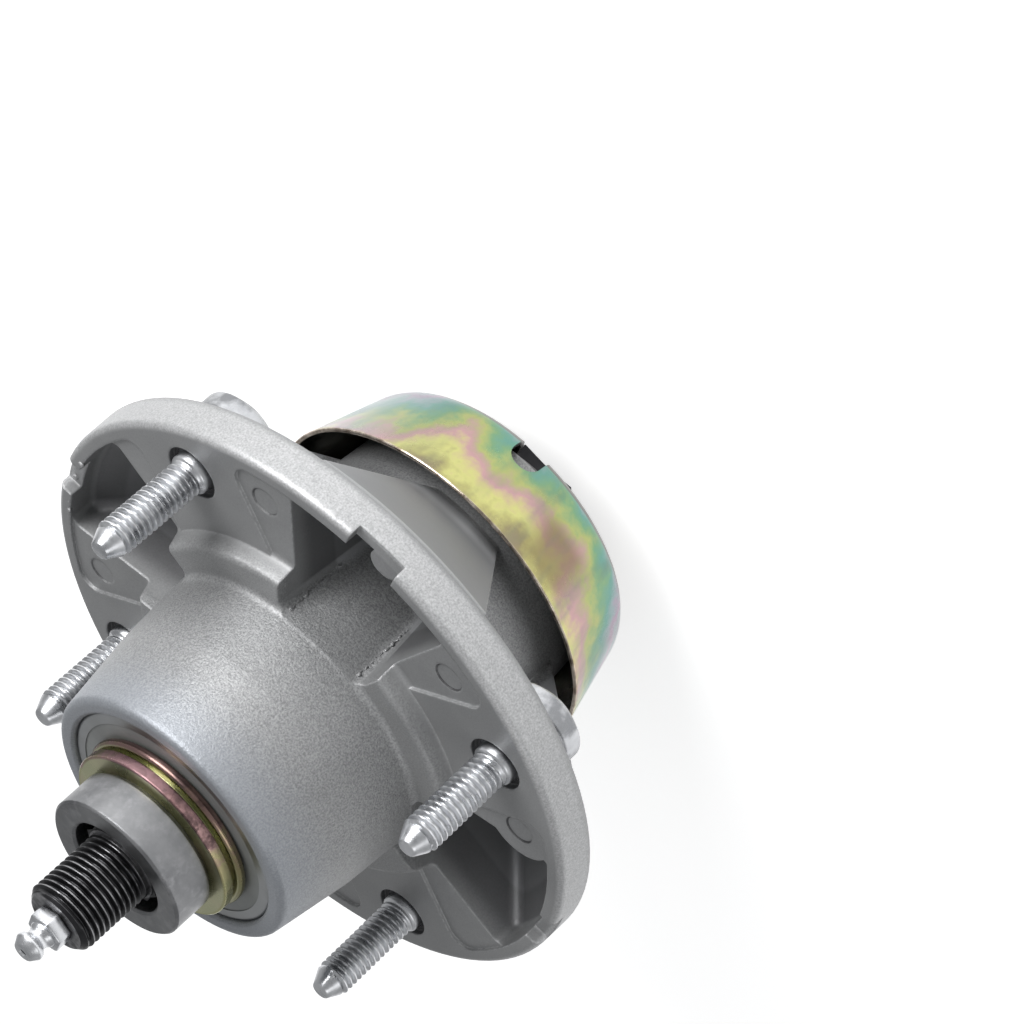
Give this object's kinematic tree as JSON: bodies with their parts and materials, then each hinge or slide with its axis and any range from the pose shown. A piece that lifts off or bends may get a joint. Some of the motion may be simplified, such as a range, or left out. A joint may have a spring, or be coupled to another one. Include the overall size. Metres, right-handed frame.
{
  "type": "mower deck spindle",
  "caption": "Cast aluminium spindle housing with flange studs, sealed ball bearings, a shaft with a threaded pulley end and star seats, and a pressed dust cup.",
  "frame": {"origin": "on the shaft's axis, in the plane where the flange's pads meet the deck", "axes": "+Z along the shaft towards the threaded pulley end; +X midway between two of the studs, over a pocket of the flange"},
  "size_m": [0.136, 0.136, 0.1497],
  "materials": {
    "cast_housing": "as cast",
    "bright_zinc": "bright zinc plate",
    "black_shaft": "black oxide",
    "dark_ring": "dark oiled steel",
    "yellow_zinc": "yellow zinc plate",
    "cup_sheet": "yellow zinc plate with rainbow tints",
    "bearing_steel": "ground",
    "cage_steel": "pressed",
    "seal_rubber": "matt"
  },
  "bodies": {
    "housing": {"housing": "cast_housing", "mounting_stud_1": "bright_zinc", "mounting_stud_2": "bright_zinc", "mounting_stud_3": "bright_zinc", "mounting_stud_4": "bright_zinc", "upper_bearing_outer_ring": "bearing_steel", "upper_bearing_top_seal": "seal_rubber", "upper_bearing_bottom_seal": "seal_rubber", "lower_bearing_outer_ring": "bearing_steel", "lower_bearing_top_seal": "seal_rubber", "lower_bearing_bottom_seal": "seal_rubber"},
    "rotor": {"shaft": "black_shaft", "grease_fitting": "bright_zinc", "bearing_spacer_tube": "bearing_steel", "upper_shield_washer": "yellow_zinc", "lower_shield_washer": "yellow_zinc", "flat_washer": "yellow_zinc", "spacer_ring": "dark_ring", "dust_cup": "cup_sheet", "upper_bearing_inner_ring": "bearing_steel", "lower_bearing_inner_ring": "bearing_steel"},
    "upper_cage": {"upper_bearing_cage": "cage_steel", "upper_bearing_balls": "bearing_steel"},
    "lower_cage": {"lower_bearing_cage": "cage_steel", "lower_bearing_balls": "bearing_steel"}
  },
  "joints": [
    {"name": "shaft_turn", "type": "hinge", "parent": "housing", "child": "rotor", "pos_m": [0, 0, 0], "axis": [0, 0, 1], "continuous": true},
    {"name": "upper_cage_turn", "type": "hinge", "parent": "housing", "child": "upper_cage", "pos_m": [0, 0, 0.0297], "axis": [0, 0, 1], "continuous": true},
    {"name": "lower_cage_turn", "type": "hinge", "parent": "housing", "child": "lower_cage", "pos_m": [0, 0, -0.0505], "axis": [0, 0, 1], "continuous": true}
  ],
  "couplings": [
    {"joint": "upper_cage_turn", "follows": "shaft_turn", "ratio": 0.3969},
    {"joint": "lower_cage_turn", "follows": "shaft_turn", "ratio": 0.3969}
  ]
}
